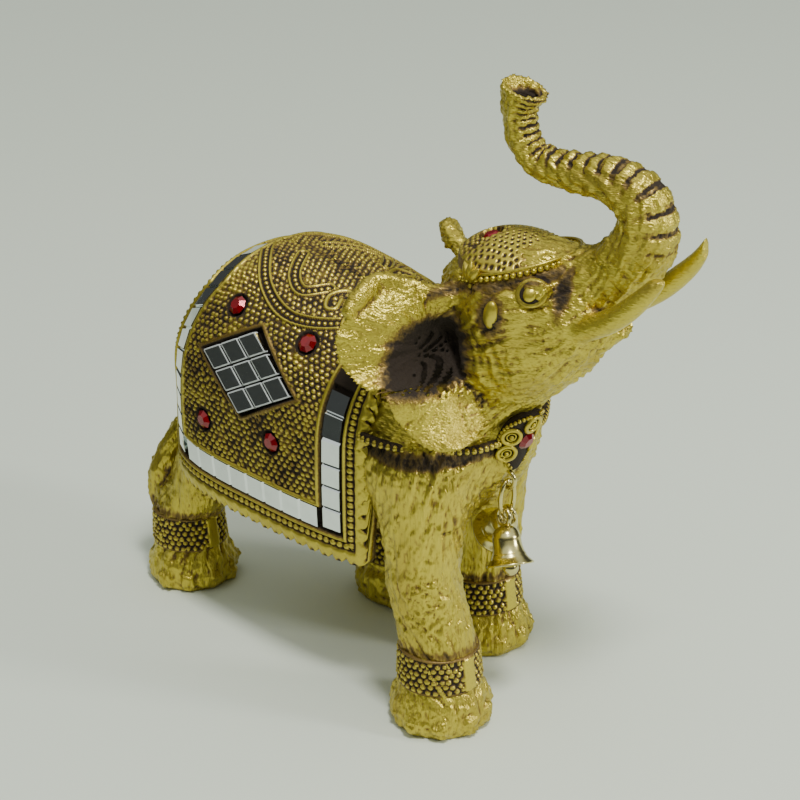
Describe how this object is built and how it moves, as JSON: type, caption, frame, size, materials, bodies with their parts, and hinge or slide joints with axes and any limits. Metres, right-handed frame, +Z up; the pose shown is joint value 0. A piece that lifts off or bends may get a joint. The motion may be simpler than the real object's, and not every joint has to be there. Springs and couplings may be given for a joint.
{
  "type": "resin elephant figurine",
  "caption": "Standing elephant figurine with raised trunk, saddle cloth set with mirror tiles and red stones, and small bells at the chest.",
  "frame": {"origin": "middle of the figurine's outline seen from above, on the ground its four feet stand on", "axes": "+X the way the body faces, +Y its left, +Z up"},
  "size_m": [0.1272, 0.056, 0.1286],
  "materials": {
    "gilded_resin": "antique gold paint over cast resin, dark wash in the recesses",
    "mirror_glass": "small silvered mirror tiles",
    "red_rhinestone": "faceted, foil backed",
    "brass": "bright plated wire and bells"
  },
  "bodies": {
    "root": {"bell_1": "brass", "bell_2": "brass", "bell_clapper_1": "brass", "bell_clapper_2": "brass", "bell_link": "brass", "elephant_casting": "gilded_resin", "eye_ring": "brass", "mirror_strip_front_left": "mirror_glass", "mirror_strip_front_right": "mirror_glass", "mirror_strip_lower_left": "mirror_glass", "mirror_strip_lower_right": "mirror_glass", "mirror_strip_rear_left": "mirror_glass", "mirror_strip_rear_right": "mirror_glass", "mirror_tile_left_11": "mirror_glass", "mirror_tile_left_12": "mirror_glass", "mirror_tile_left_13": "mirror_glass", "mirror_tile_left_21": "mirror_glass", "mirror_tile_left_22": "mirror_glass", "mirror_tile_left_23": "mirror_glass", "mirror_tile_left_31": "mirror_glass", "mirror_tile_left_32": "mirror_glass", "mirror_tile_left_33": "mirror_glass", "mirror_tile_right_11": "mirror_glass", "mirror_tile_right_12": "mirror_glass", "mirror_tile_right_13": "mirror_glass", "mirror_tile_right_21": "mirror_glass", "mirror_tile_right_22": "mirror_glass", "mirror_tile_right_23": "mirror_glass", "mirror_tile_right_31": "mirror_glass", "mirror_tile_right_32": "mirror_glass", "mirror_tile_right_33": "mirror_glass", "rhinestone_cap": "red_rhinestone", "rhinestone_left_1": "red_rhinestone", "rhinestone_left_2": "red_rhinestone", "rhinestone_left_3": "red_rhinestone", "rhinestone_left_4": "red_rhinestone", "rhinestone_medallion": "red_rhinestone", "rhinestone_right_1": "red_rhinestone", "rhinestone_right_2": "red_rhinestone", "rhinestone_right_3": "red_rhinestone", "rhinestone_right_4": "red_rhinestone"}
  },
  "joints": []
}
